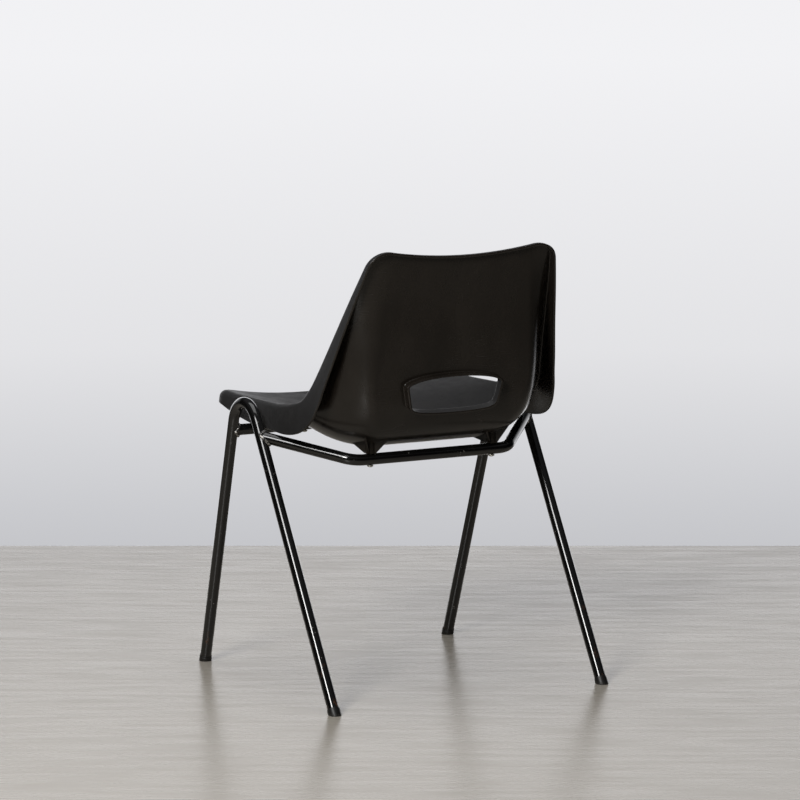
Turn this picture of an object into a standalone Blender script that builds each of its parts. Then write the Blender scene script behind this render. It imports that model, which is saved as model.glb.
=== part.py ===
"""Stacking side chair: a moulded plastic shell on a tubular steel frame.

Metres, +Z up. The origin is on the floor, midway between the feet. The sitter faces -Y, so the
chair's left side is +X. The shell is one sheet: each station across it gives the middle of the
seat or back and the folded edge beside it, and the sheet is swept smoothly through the stations.
"""

import math

import bmesh
import bpy
import numpy as np
from mathutils import Vector
from mathutils.bvhtree import BVHTree

# ------------------------------------------------------------------ driving dimensions
TUBE_RADIUS = 0.0095
TUBE_WALL = 0.0016
TUBE_SIDES = 14
GAP = 0.0003                      # clearance between pieces that touch
CUT_PAST = 0.0020                 # a cutter runs on this far past the face it cuts
SADDLE_REACH = 0.0450             # half the length of leg that a saddle cut follows

REAR_FOOT = (0.2530, 0.2470)      # x and y of a leg's axis on the floor
FRONT_FOOT = (0.2382, -0.2470)
LEG_APEX = (0.2545, -0.0766, 0.5388)   # where the two straight legs of a hairpin would meet
ARCH_RADIUS = 0.0487
ARCH_STEPS = 9

WELD_HEIGHT = 0.0032              # how far a bead stands out from the rail
WELD_START = 0.0030               # a bead's stretch of the rail, from the leg's axis
WELD_END = 0.0142

CAP_RADIUS = 0.0105
CAP_HEIGHT = 0.0115               # along the leg, from the floor
CAP_CHAMFER = 0.0010
CAP_SIDES = 16
TUBE_END = 0.0080                 # the tube stops this far up the leg's axis

REAR_RAIL_ON_LEG = 0.4215         # heights of the rail axes where they meet the legs
FRONT_RAIL_ON_LEG = 0.4170
REAR_RAIL_CORNER = (0.1455, 0.1150, 0.3897)
RAIL_BEND_RADIUS = 0.040
RAIL_BEND_STEPS = 5

FIXING_X = 0.1150                 # the four shell fixings, either side of the middle
SCREW_SHANK_RADIUS = 0.0029
SCREW_HEAD_RADIUS = 0.0056
SCREW_HEAD_HEIGHT = 0.0034
SCREW_KEY_RADIUS = 0.0019         # hexagon socket in the head
SCREW_KEY_DEPTH = 0.0018
SCREW_HOLE_RADIUS = 0.0034
SCREW_TIP_CHAMFER = 0.0010
INSERT_RADIUS = 0.0044
INSERT_LENGTH = 0.0085
BOSS_RADIUS = 0.0080
WEB_REACH_BOTTOM = 0.0095
WEB_REACH_TOP = 0.0340
WEB_THICKNESS = 0.0030
BOSS_TURNS = 3                    # straight steps round the post between two webs
BOSS_SINK = 0.55                  # the boss ends this share of the way through the shell
ABOVE_CHAIR = 0.80                # height from which rays are cast down onto the sheet

SHELL_THICKNESS = 0.0040
FRONT_CORNER_RADIUS = 0.030
TOP_CORNER_RADIUS = 0.034
TOP_EDGE_DIP = 0.0170             # the top edge is this much lower in the middle
TOP_EDGE_DIP_REACH = 0.15
FLANGE_FLARE = math.radians(7.0)
SHELL_COLUMNS = 20
SHELL_ROWS = 20
CORNER_ROWS = 3
FOLD_STEPS = 3

HAND_HOLD_STATION = 7.57          # place up the back, in stations
HAND_HOLD_HALF_WIDTH = 0.0890
HAND_HOLD_WIDENING = 0.0060       # half width added at the top and taken off at the bottom
HAND_HOLD_HALF_HEIGHT = 0.0245
HAND_HOLD_ARCH = 0.0090
HAND_HOLD_SAG = 0.0030
HAND_HOLD_SQUARENESS = 6.0
HAND_HOLD_LIP = 0.0110
HAND_HOLD_FOLD = 0.0055
HAND_HOLD_RINGS = 2
HAND_HOLD_MARGIN = 0.0110         # least width of the ring of faces round the hand hold

# Shell stations from the front edge of the seat to the top of the back. The middle is (y, z); the
# edge is (x, y, z) where the sheet starts to fold; the dish starts at the flat share of the half
# width and rises with the power; the flange turns down by its depth at its angle from vertical.
#            middle           edge                      flat  power  angle  depth   fold
STATIONS = (
    ((-0.2175, 0.4555), (0.2185, -0.2170, 0.4725), 0.25, 2.2, 0.0, 0.0040, 0.0130),
    ((-0.1500, 0.4475), (0.2190, -0.1480, 0.4712), 0.20, 2.2, 0.0, 0.0230, 0.0090),
    ((-0.0800, 0.4335), (0.2200, -0.0740, 0.4722), 0.20, 2.2, 0.0, 0.0340, 0.0075),
    ((-0.0080, 0.4180), (0.2210, -0.0060, 0.4732), 0.30, 2.4, 4.0, 0.0376, 0.0070),
    ((0.0560, 0.4090), (0.2200, 0.0460, 0.4780), 0.36, 2.5, 14.0, 0.0437, 0.0070),
    ((0.1120, 0.4155), (0.2150, 0.0790, 0.4870), 0.38, 2.5, 32.0, 0.0450, 0.0070),
    ((0.1540, 0.4410), (0.2095, 0.0980, 0.5050), 0.55, 2.0, 48.0, 0.0390, 0.0070),
    ((0.1740, 0.4770), (0.2035, 0.1110, 0.5270), 0.66, 1.7, 60.0, 0.0335, 0.0070),
    ((0.1810, 0.5220), (0.1965, 0.1285, 0.5610), 0.74, 1.45, 65.0, 0.0285, 0.0070),
    ((0.1890, 0.5900), (0.1870, 0.1545, 0.6150), 0.76, 1.45, 66.0, 0.0210, 0.0065),
    ((0.1980, 0.6600), (0.1770, 0.1830, 0.6750), 0.77, 1.45, 70.0, 0.0140, 0.0060),
    ((0.2140, 0.7440), (0.1640, 0.2190, 0.7500), 0.78, 1.45, 78.0, 0.0050, 0.0055),
)


# ------------------------------------------------------------------ small helpers
def unit(vectors):
    """Rows of an array, or one vector, at length one."""
    length = np.linalg.norm(vectors, axis=-1, keepdims=True)
    return vectors / np.maximum(length, 1e-12)


def new_object(name, points, faces, material):
    """A mesh object from points and faces, wound so that its faces point out."""
    mesh = bpy.data.meshes.new(name)
    mesh.from_pydata([tuple(p) for p in points], [], [tuple(f) for f in faces])
    work = bmesh.new()
    work.from_mesh(mesh)
    bmesh.ops.recalc_face_normals(work, faces=work.faces)
    work.to_mesh(mesh)
    work.free()
    mesh.shade_smooth()
    mesh.set_sharp_from_angle(angle=math.radians(35))
    mesh.materials.append(material)
    obj = bpy.data.objects.new(name, mesh)
    bpy.context.scene.collection.objects.link(obj)
    return obj


def add_boolean(obj, tool, operation):
    """Cut or join with a guide object, which is not a piece of the chair."""
    tool.hide_render = True
    tool.display_type = "WIRE"
    modifier = obj.modifiers.new(operation.lower(), "BOOLEAN")
    modifier.operation = operation
    modifier.object = tool


def frame_across(direction):
    """Two unit vectors square to a direction and to each other."""
    direction = Vector(direction).normalized()
    helper = Vector((0, 0, 1)) if abs(direction.z) < 0.9 else Vector((0, 1, 0))
    first = direction.cross(helper).normalized()
    return first, direction.cross(first)


def turned(name, profile, base, direction, sides, material, on_floor=0):
    """A closed profile of (radius, height) turned about an axis. The first on_floor rings are
    slid along the axis until they lie level, at the height of the base point."""
    base = Vector(base)
    direction = Vector(direction).normalized()
    first, second = frame_across(direction)
    points = []
    rings = []
    for ring, (radius, height) in enumerate(profile):
        if radius == 0:
            rings.append([len(points)])
            points.append(base + direction * height)
            continue
        rings.append(list(range(len(points), len(points) + sides)))
        for side in range(sides):
            angle = 2 * math.pi * side / sides
            out = first * math.cos(angle) + second * math.sin(angle)
            along = height - radius * out.z / direction.z if ring < on_floor else height
            points.append(base + out * radius + direction * along)
    faces = []
    for lower, upper in zip(rings, rings[1:]):
        for side in range(sides):
            after = (side + 1) % sides
            quad = [lower[side % len(lower)], lower[after % len(lower)],
                    upper[after % len(upper)], upper[side % len(upper)]]
            faces.append(list(dict.fromkeys(quad)))
    if len(rings[0]) > 1 and len(rings[-1]) > 1:
        for side in range(sides):
            after = (side + 1) % sides
            faces.append([rings[-1][side], rings[-1][after], rings[0][after], rings[0][side]])
    return new_object(name, points, faces, material)


def rounded_path(corners, radius, steps):
    """The centre line through corners, each inner corner rounded with an arc."""
    path = [Vector(corners[0])]
    for before, corner, after in zip(corners, corners[1:], corners[2:]):
        corner = Vector(corner)
        towards = (Vector(before) - corner).normalized()
        away = (Vector(after) - corner).normalized()
        half = towards.angle(away) / 2
        centre = corner + (towards + away).normalized() * (radius / math.sin(half))
        start = corner + towards * (radius / math.tan(half)) - centre
        end = corner + away * (radius / math.tan(half)) - centre
        turn = start.angle(end)
        for step in range(steps + 1):
            share = step / steps
            spoke = start * math.sin((1 - share) * turn) + end * math.sin(share * turn)
            path.append(centre + spoke / math.sin(turn))
    path.append(Vector(corners[-1]))
    return path


def tube(name, path, material):
    """A hollow round tube along a path, open at both ends."""
    points = []
    inner_radius = TUBE_RADIUS - TUBE_WALL
    across = None
    for index, place in enumerate(path):
        before = path[max(index - 1, 0)]
        after = path[min(index + 1, len(path) - 1)]
        into = (place - before).normalized() if index else (after - place).normalized()
        out_of = (after - place).normalized() if index < len(path) - 1 else into
        along = (into + out_of).normalized()
        if across is None:
            across = frame_across(along)[0]
        across = (across - along * across.dot(along)).normalized()
        second = along.cross(across)
        for radius in (TUBE_RADIUS, inner_radius):
            for side in range(TUBE_SIDES):
                angle = 2 * math.pi * (side + 0.5) / TUBE_SIDES
                spoke = across * math.cos(angle) + second * math.sin(angle)
                points.append(place + spoke * radius)
    faces = []
    step = 2 * TUBE_SIDES
    for side in range(TUBE_SIDES):
        after = (side + 1) % TUBE_SIDES
        for ring in range(len(path) - 1):
            for wall in (0, TUBE_SIDES):
                low = ring * step + wall
                high = low + step
                faces.append([low + side, low + after, high + after, high + side])
        for end in (0, (len(path) - 1) * step):
            faces.append([end + side, end + after,
                          end + TUBE_SIDES + after, end + TUBE_SIDES + side])
    return new_object(name, points, faces, material)


def guide_cylinder(name, base, end, radius, sides, material):
    """A plain solid cylinder, used only to cut."""
    length = (Vector(end) - Vector(base)).length
    profile = ((0, 0), (radius, 0), (radius, length), (0, length))
    return turned(name, profile, base, Vector(end) - Vector(base), sides, material)


# ------------------------------------------------------------------ materials
def make_material(name, colour, roughness, metallic):
    material = bpy.data.materials.new(name)
    material.use_nodes = True
    shader = material.node_tree.nodes["Principled BSDF"]
    shader.inputs["Base Color"].default_value = (*colour, 1)
    shader.inputs["Roughness"].default_value = roughness
    shader.inputs["Metallic"].default_value = metallic
    material.diffuse_color = (*colour, 1)
    return material


def shell_plastic():
    return make_material("black_polypropylene", (0.018, 0.017, 0.018), 0.42, 0.0)


def gloss_paint():
    return make_material("black_gloss_paint", (0.010, 0.010, 0.011), 0.14, 0.0)


def cap_plastic():
    return make_material("black_cap_plastic", (0.020, 0.019, 0.019), 0.50, 0.0)


def zinc_steel():
    return make_material("zinc_plated_steel", (0.60, 0.59, 0.56), 0.35, 1.0)


def insert_brass():
    return make_material("insert_brass", (0.62, 0.47, 0.22), 0.32, 1.0)


def weld_metal():
    return make_material("painted_weld", (0.012, 0.012, 0.013), 0.22, 0.0)


# ------------------------------------------------------------------ the shell's surface
def station_columns():
    """The stations as an array: middle y z, edge x y z, flat, power, angle, depth, fold."""
    return np.array([(*middle, *edge, *rest) for middle, edge, *rest in STATIONS])


def through_stations(place):
    """All station values at fractional places along the list, by a Catmull-Rom curve."""
    table = station_columns()
    padded = np.vstack([2 * table[0] - table[1], table, 2 * table[-1] - table[-2]])
    place = np.clip(np.asarray(place, dtype=float), 0, len(table) - 1)
    index = np.minimum(place.astype(int), len(table) - 2)
    t = (place - index)[..., None]
    p0, p1, p2, p3 = (padded[index + k] for k in range(4))
    return p1 + 0.5 * t * (p2 - p0 + t * (2 * p0 - 5 * p1 + 4 * p2 - p3
                                          + t * (3 * (p1 - p2) + p3 - p0)))


class ShellSurface:
    """The sitter's side of the shell as a function of x and the distance from the front edge."""

    def __init__(self):
        self.places = np.linspace(0, len(STATIONS) - 1, 1200)
        values = through_stations(self.places)
        middle = values[:, 0:2]
        edge = values[:, 3:5]
        between = np.linalg.norm(np.diff((middle + edge) / 2, axis=0), axis=1)
        self.distance = np.concatenate([[0], np.cumsum(between)])
        self.length = self.distance[-1]

    def place_at(self, distance):
        return np.interp(distance, self.distance, self.places)

    def distance_at(self, place):
        return float(np.interp(place, self.places, self.distance))

    def values(self, distance):
        return through_stations(self.place_at(distance))

    def half_width(self, distance):
        """Half the sheet's width, drawn in round the four corners."""
        width = self.values(distance)[..., 2]
        for radius, inset in ((FRONT_CORNER_RADIUS, distance),
                              (TOP_CORNER_RADIUS, self.length - distance)):
            depth = np.clip(radius - inset, 0, radius)
            width = width - (radius - np.sqrt(radius * radius - depth * depth))
        return width

    def points(self, x, distance):
        """Points of the sheet. The dip of the top edge fades out down the back."""
        fade = np.clip(1 - (self.length - distance) / TOP_EDGE_DIP_REACH, 0, 1) ** 2
        share = np.clip(1 - (x / self.values(self.length)[2]) ** 2, 0, 1)
        values = self.values(distance - TOP_EDGE_DIP * fade * share)
        flat, power = values[..., 5], values[..., 6]
        reach = np.clip((np.abs(x) / values[..., 2] - flat) / (1 - flat), 0, 2)
        rise = reach ** power
        y = values[..., 0] + rise * (values[..., 3] - values[..., 0])
        z = values[..., 1] + rise * (values[..., 4] - values[..., 1])
        return np.stack([x, y, z], axis=-1)

    def normals(self, x, distance):
        """Unit normals on the sitter's side."""
        step = 1e-4
        inside = np.clip(distance, step, self.length - step)
        across = self.points(x + step, inside) - self.points(x - step, inside)
        along = self.points(x, inside + step) - self.points(x, inside - step)
        return unit(np.cross(across, along))


def row_distances(surface, rows, corner_rows):
    """Distances of the mesh rows from the front edge, closer together round the corners."""
    turns = 1 - np.cos(np.linspace(0, math.pi / 2, corner_rows + 1))
    front = FRONT_CORNER_RADIUS * turns
    top = surface.length - TOP_CORNER_RADIUS * turns[::-1]
    between = np.linspace(front[-1], top[0], rows + 1)
    return np.concatenate([front, between[1:-1], top])


def hand_hold_outline(surface, sides):
    """Points (x, distance) round the hand hold, with a count of steps for each of four sides.
    It is a squared-off oval, wider at the top and with an arched top edge."""
    centre = surface.distance_at(HAND_HOLD_STATION)
    angle = np.linspace(-0.75 * math.pi, 1.25 * math.pi, 2401)
    power = 2 / HAND_HOLD_SQUARENESS
    across = np.sign(np.cos(angle)) * np.abs(np.cos(angle)) ** power
    up = np.sign(np.sin(angle)) * np.abs(np.sin(angle)) ** power
    x = (HAND_HOLD_HALF_WIDTH + HAND_HOLD_WIDENING * up) * across
    bulge = np.where(up > 0, HAND_HOLD_ARCH, HAND_HOLD_SAG) * (1 - across ** 2)
    distance = centre + (HAND_HOLD_HALF_HEIGHT + bulge) * up
    outline = []
    for side, count in enumerate(sides):
        part = slice(side * 600, side * 600 + 601)
        steps = np.hypot(np.diff(x[part]), np.diff(distance[part]))
        run = np.concatenate([[0], np.cumsum(steps)])
        wanted = run[-1] * np.arange(count) / count
        outline += list(zip(np.interp(wanted, run, x[part]),
                            np.interp(wanted, run, distance[part])))
    return outline


def shell_sheet(surface, columns, rows, corner_rows, rings):
    """The flat-pattern grid of the sheet: (x, distance) points, quads, its outer edge and the
    edge of the hand hold, both as loops of point numbers."""
    distances = row_distances(surface, rows, corner_rows)
    shares = np.linspace(-1, 1, columns + 1)
    flat = [(share * surface.half_width(d), d) for d in distances for share in shares]
    wide = columns + 1
    margin = HAND_HOLD_MARGIN
    centre = surface.distance_at(HAND_HOLD_STATION)
    low = np.searchsorted(distances, centre - HAND_HOLD_HALF_HEIGHT - margin) - 1
    high = np.searchsorted(distances, centre + HAND_HOLD_HALF_HEIGHT + HAND_HOLD_ARCH + margin)
    reach = HAND_HOLD_HALF_WIDTH + HAND_HOLD_WIDENING + margin
    left = np.searchsorted(shares * surface.half_width(distances[high]), -reach) - 1
    right = columns - left
    faces = []
    for row in range(len(distances) - 1):
        for column in range(columns):
            if low <= row < high and left <= column < right:
                continue
            start = row * wide + column
            faces.append((start, start + 1, start + wide + 1, start + wide))
    border = [low * wide + c for c in range(left, right)]
    border += [r * wide + right for r in range(low, high)]
    border += [high * wide + c for c in range(right, left, -1)]
    border += [r * wide + left for r in range(high, low, -1)]
    sides = (right - left, high - low, right - left, high - low)
    outline = hand_hold_outline(surface, sides)
    outer = border
    for ring in range(1, rings + 1):
        share = ring / rings
        inner = list(range(len(flat), len(flat) + len(border)))
        for number, hole in zip(border, outline):
            x, d = flat[number]
            flat.append((x + share * (hole[0] - x), d + share * (hole[1] - d)))
        for k in range(len(border)):
            after = (k + 1) % len(border)
            faces.append((outer[k], outer[after], inner[after], inner[k]))
        outer = inner
    edge = list(range(wide - 1))
    edge += [r * wide + columns for r in range(len(distances) - 1)]
    last = (len(distances) - 1) * wide
    edge += [last + c for c in range(columns, 0, -1)]
    edge += [r * wide for r in range(len(distances) - 1, 0, -1)]
    return np.array(flat), faces, edge, outer


def add_fold(points, faces, loop, outward, target, radius, depth, steps):
    """Fold the sheet along a loop: an arc from the outward direction to the target direction,
    and then straight on by the depth. Returns the points and the loop of the free edge."""
    base = points[loop]
    turn = np.arccos(np.clip(np.sum(outward * target, axis=1), -1, 1))[:, None]
    inward = unit(target - np.cos(turn) * outward)
    radius = np.asarray(radius).reshape(-1, 1)
    depth = np.asarray(depth).reshape(-1, 1)
    rows = []
    for step in range(1, steps + 1):
        angle = turn * step / steps
        rows.append(base + radius * (np.sin(angle) * outward + (1 - np.cos(angle)) * inward))
    rows.append(rows[-1] + depth * target)
    previous = list(loop)
    for row in rows:
        current = list(range(len(points), len(points) + len(loop)))
        points = np.vstack([points, row])
        for k in range(len(loop)):
            after = (k + 1) % len(loop)
            faces.append((previous[after], previous[k], current[k], current[after]))
        previous = current
    return points, previous


def loop_directions(points, normals, loop):
    """The tangents along a loop, and the directions in the sheet that lead out across it."""
    ring = points[loop]
    tangent = unit(np.roll(ring, -1, axis=0) - np.roll(ring, 1, axis=0))
    return tangent, unit(np.cross(tangent, normals))


def vertex_normals(points, faces):
    """Unit normals at the points, from the faces around them."""
    quads = np.array(faces)
    crossed = np.cross(points[quads[:, 2]] - points[quads[:, 0]],
                       points[quads[:, 3]] - points[quads[:, 1]])
    total = np.zeros_like(points)
    for corner in range(4):
        np.add.at(total, quads[:, corner], unit(crossed))
    return unit(total)


def shell_solid(columns, rows, corner_rows, fold_steps, rings):
    """Points and faces of the whole shell, without its bosses."""
    surface = ShellSurface()
    flat, faces, edge, hole = shell_sheet(surface, columns, rows, corner_rows, rings)
    points = surface.points(flat[:, 0], flat[:, 1])

    normals = surface.normals(flat[edge, 0], flat[edge, 1])
    tangent, outward = loop_directions(points, normals, edge)
    values = surface.values(flat[edge, 1])
    angle = np.radians(values[:, 7])
    away = np.stack([0 * angle, np.sin(angle), -np.cos(angle)], axis=1)
    away = unit(away - np.sum(away * tangent, axis=1, keepdims=True) * tangent)
    sideways = np.cross(tangent, away)
    sideways *= np.sign(np.sum(sideways * outward, axis=1, keepdims=True))
    target = math.cos(FLANGE_FLARE) * away + math.sin(FLANGE_FLARE) * sideways
    points, rim = add_fold(points, faces, edge, outward, target,
                           values[:, 9], values[:, 8], fold_steps)

    loop = hole[::-1]
    normals = surface.normals(flat[loop, 0], flat[loop, 1])
    tangent, outward = loop_directions(points, normals, loop)
    points, lip = add_fold(points, faces, loop, outward, -normals,
                           HAND_HOLD_FOLD, HAND_HOLD_LIP, fold_steps)

    count = len(points)
    under = points - SHELL_THICKNESS * vertex_normals(points, faces)
    points = np.vstack([points, under])
    faces += [tuple(count + number for number in face[::-1]) for face in faces]
    for free in (rim, lip):
        for k in range(len(free)):
            after = (k + 1) % len(free)
            faces.append((free[after], free[k], count + free[k], count + free[after]))
    return points, faces


# ------------------------------------------------------------------ the shell's bosses
def boss_section(reach, turns):
    """Outline of a round post with four webs, as (x, y) points."""
    half = WEB_THICKNESS / 2
    start = math.sqrt(BOSS_RADIUS ** 2 - half ** 2)
    stops = [start + (reach - start) * k / 3 for k in (1, 2, 3)]
    outline = []
    for quarter in range(4):
        angle = math.pi / 4 + quarter * math.pi / 2
        along = Vector((math.cos(angle), math.sin(angle)))
        across = Vector((-along.y, along.x))
        outline += [along * stop - across * half for stop in [start] + stops]
        outline += [along * stop + across * half for stop in stops[::-1] + [start]]
        gap = math.pi / 2 - 2 * math.asin(half / BOSS_RADIUS)
        for turn in range(1, turns):
            spoke = angle + math.asin(half / BOSS_RADIUS) + gap * turn / turns
            outline.append(Vector((math.cos(spoke), math.sin(spoke))) * BOSS_RADIUS)
    return outline


def boss(name, centre, bottom, sheet_tree, material):
    """A post with four webs that spread up to the shell and end inside its thickness."""
    def under_sheet(x, y):
        hit = sheet_tree.ray_cast(Vector((x, y, ABOVE_CHAIR)), Vector((0, 0, -1)))[0]
        return hit - Vector((0, 0, SHELL_THICKNESS * BOSS_SINK))

    low = [Vector((centre[0] + p.x, centre[1] + p.y, bottom))
           for p in boss_section(WEB_REACH_BOTTOM, BOSS_TURNS)]
    high = [under_sheet(centre[0] + p.x, centre[1] + p.y)
            for p in boss_section(WEB_REACH_TOP, BOSS_TURNS)]
    count = len(low)
    middle = [Vector((*centre, bottom)), under_sheet(*centre)]
    faces = []
    for k in range(count):
        after = (k + 1) % count
        faces.append((k, after, count + after, count + k))
        faces.append((after, k, 2 * count))
        faces.append((count + k, count + after, 2 * count + 1))
    return new_object(name, low + high + middle, faces, material)


# ------------------------------------------------------------------ places worked out
def leg_point(foot, height):
    """A point on the straight axis of a leg, on the left side."""
    share = height / LEG_APEX[2]
    return Vector((foot[0] + (LEG_APEX[0] - foot[0]) * share,
                   foot[1] + (LEG_APEX[1] - foot[1]) * share, height))


def leg_direction(foot):
    return (leg_point(foot, LEG_APEX[2]) - leg_point(foot, 0)).normalized()


def mirrored(point, side):
    return Vector((point[0] * side, point[1], point[2]))


SIDES = (("left", 1), ("right", -1))
ENDS = (("rear", REAR_FOOT, REAR_RAIL_ON_LEG), ("front", FRONT_FOOT, FRONT_RAIL_ON_LEG))


def rail_corners(end, foot, height):
    """Corner points of a rail's centre line, from the left leg's axis to the right leg's."""
    left = leg_point(foot, height)
    if end == "rear":
        corners = [left, Vector(REAR_RAIL_CORNER)]
    else:
        corners = [left]
    return corners + [mirrored(p, -1) for p in corners[::-1]]


def fixing_place(end):
    """Y of a pair of shell fixings and height of the rail's axis there."""
    if end == "rear":
        return REAR_RAIL_CORNER[1], REAR_RAIL_CORNER[2]
    left = leg_point(FRONT_FOOT, FRONT_RAIL_ON_LEG)
    return left.y, left.z


# ------------------------------------------------------------------ pieces
def make_shell():
    points, faces = shell_solid(SHELL_COLUMNS, SHELL_ROWS, CORNER_ROWS, FOLD_STEPS,
                                HAND_HOLD_RINGS)
    plastic = shell_plastic()
    shell = new_object("seat_shell", points, faces, plastic)
    half = len(points) // 2
    upper = [face for face in faces if max(face) < half]
    tree = BVHTree.FromPolygons([tuple(p) for p in points[:half]], upper)
    for end in ("rear", "front"):
        y, rail_z = fixing_place(end)
        bottom = rail_z + TUBE_RADIUS + GAP
        for side_name, side in SIDES:
            place = (FIXING_X * side, y)
            post = boss(f"guide_boss_{end}_{side_name}", place, bottom, tree, plastic)
            add_boolean(shell, post, "UNION")
            low = Vector((*place, bottom - CUT_PAST))
            high = Vector((*place, bottom + INSERT_LENGTH + GAP))
            bore = guide_cylinder(f"guide_bore_{end}_{side_name}", low, high,
                                  INSERT_RADIUS + GAP, 16, plastic)
            add_boolean(shell, bore, "DIFFERENCE")


def make_hairpins(paint):
    """Each side's two legs are one tube, bent into an arch at the top."""
    for side_name, side in SIDES:
        corners = [leg_point(REAR_FOOT, 0) + leg_direction(REAR_FOOT) * TUBE_END,
                   Vector(LEG_APEX),
                   leg_point(FRONT_FOOT, 0) + leg_direction(FRONT_FOOT) * TUBE_END]
        path = rounded_path([mirrored(p, side) for p in corners], ARCH_RADIUS, ARCH_STEPS)
        tube(f"leg_hairpin_{side_name}", path, paint)


def leg_guide(name, foot, height, side, radius, material):
    """A cylinder round a stretch of leg, for cutting what is welded to it."""
    reach = leg_direction(foot) * SADDLE_REACH
    middle = leg_point(foot, height)
    return guide_cylinder(name, mirrored(middle - reach, side), mirrored(middle + reach, side),
                          radius, 32, material)


def make_rails(paint):
    """Two cross rails, saddle-cut to the legs and drilled for the shell's screws."""
    for end, foot, height in ENDS:
        path = rounded_path(rail_corners(end, foot, height), RAIL_BEND_RADIUS, RAIL_BEND_STEPS)
        rail = tube(f"rail_{end}", path, paint)
        y, z = fixing_place(end)
        for side_name, side in SIDES:
            saddle = leg_guide(f"guide_saddle_{end}_{side_name}", foot, height, side,
                               TUBE_RADIUS + GAP, paint)
            add_boolean(rail, saddle, "DIFFERENCE")
            drill = guide_cylinder(f"guide_drill_{end}_{side_name}",
                                   (FIXING_X * side, y, z - 2 * TUBE_RADIUS),
                                   (FIXING_X * side, y, z + 2 * TUBE_RADIUS),
                                   SCREW_HOLE_RADIUS, 12, paint)
            add_boolean(rail, drill, "DIFFERENCE")


def make_welds(material):
    """The bead of weld round each rail end, cut to the leg that it joins."""
    inner = TUBE_RADIUS + GAP
    start_at, end_at = WELD_START, WELD_END
    profile = ((inner, start_at), (inner + WELD_HEIGHT, start_at),
               (inner + WELD_HEIGHT * 0.94, end_at - WELD_HEIGHT * 1.15),
               (inner + WELD_HEIGHT * 0.62, end_at - WELD_HEIGHT * 0.38),
               (inner + WELD_HEIGHT * 0.19, end_at), (inner, end_at))
    for end, foot, height in ENDS:
        corners = rail_corners(end, foot, height)
        for side_name, side in SIDES:
            start = mirrored(corners[0], side)
            along = mirrored(corners[1] - corners[0], side)
            bead = turned(f"weld_{end}_{side_name}", profile, start, along, 16, material)
            saddle = leg_guide(f"guide_bead_{end}_{side_name}", foot, height, side,
                               TUBE_RADIUS + GAP, material)
            add_boolean(bead, saddle, "DIFFERENCE")


def make_caps(plastic):
    """Plastic foot caps: cups on the tube ends, with a level sole."""
    bore = TUBE_RADIUS + GAP
    profile = ((0, 0), (CAP_RADIUS - CAP_CHAMFER, 0), (CAP_RADIUS, CAP_CHAMFER),
               (CAP_RADIUS, CAP_HEIGHT - CAP_CHAMFER), (CAP_RADIUS - CAP_CHAMFER / 2, CAP_HEIGHT),
               (bore, CAP_HEIGHT), (bore, TUBE_END - GAP), (0, TUBE_END - GAP))
    for end, foot, _height in ENDS:
        for side_name, side in SIDES:
            turned(f"foot_cap_{end}_{side_name}", profile, mirrored(leg_point(foot, 0), side),
                   mirrored(leg_direction(foot), side), CAP_SIDES, plastic, on_floor=3)


def make_fixings(steel, brass):
    """Button-head screws up through the rails, each into a threaded insert in its boss."""
    for end, _foot, _height in ENDS:
        y, z = fixing_place(end)
        under = z - TUBE_RADIUS - GAP
        boss_foot = z + TUBE_RADIUS + GAP
        tip = boss_foot + INSERT_LENGTH - SCREW_TIP_CHAMFER - under
        head = ((0, -SCREW_HEAD_HEIGHT), (SCREW_HEAD_RADIUS * 0.55, -SCREW_HEAD_HEIGHT),
                (SCREW_HEAD_RADIUS * 0.86, -SCREW_HEAD_HEIGHT * 0.72),
                (SCREW_HEAD_RADIUS, -SCREW_HEAD_HEIGHT * 0.22), (SCREW_HEAD_RADIUS, 0),
                (SCREW_SHANK_RADIUS, 0), (SCREW_SHANK_RADIUS, tip - SCREW_TIP_CHAMFER),
                (SCREW_SHANK_RADIUS - SCREW_TIP_CHAMFER, tip), (0, tip))
        sleeve = ((SCREW_SHANK_RADIUS + GAP, GAP), (INSERT_RADIUS, GAP),
                  (INSERT_RADIUS, INSERT_LENGTH), (SCREW_SHANK_RADIUS + GAP, INSERT_LENGTH))
        for side_name, side in SIDES:
            base = Vector((FIXING_X * side, y, under))
            screw = turned(f"screw_{end}_{side_name}", head, base, (0, 0, 1), 16, steel)
            key = guide_cylinder(f"guide_key_{end}_{side_name}",
                                 base - Vector((0, 0, SCREW_HEAD_HEIGHT + CUT_PAST)),
                                 base - Vector((0, 0, SCREW_HEAD_HEIGHT - SCREW_KEY_DEPTH)),
                                 SCREW_KEY_RADIUS, 6, steel)
            add_boolean(screw, key, "DIFFERENCE")
            turned(f"insert_{end}_{side_name}", sleeve, (base.x, base.y, boss_foot),
                   (0, 0, 1), 16, brass)


def main():
    for obj in list(bpy.data.objects):
        bpy.data.objects.remove(obj)
    paint = gloss_paint()
    make_shell()
    make_hairpins(paint)
    make_rails(paint)
    make_welds(weld_metal())
    make_caps(cap_plastic())
    make_fixings(zinc_steel(), insert_brass())


main()
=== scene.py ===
"""The stacking side chair as it looks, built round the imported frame.

Metres, +Z up. The sitter faces -Y, so the chair's left side is +X. Each piece is made again more
finely, from the driving dimensions of the CAD part that it stands for, and gets its own look.
"""

import math

import bmesh
import bpy
import numpy as np
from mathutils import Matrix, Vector
from mathutils.bvhtree import BVHTree


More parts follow.
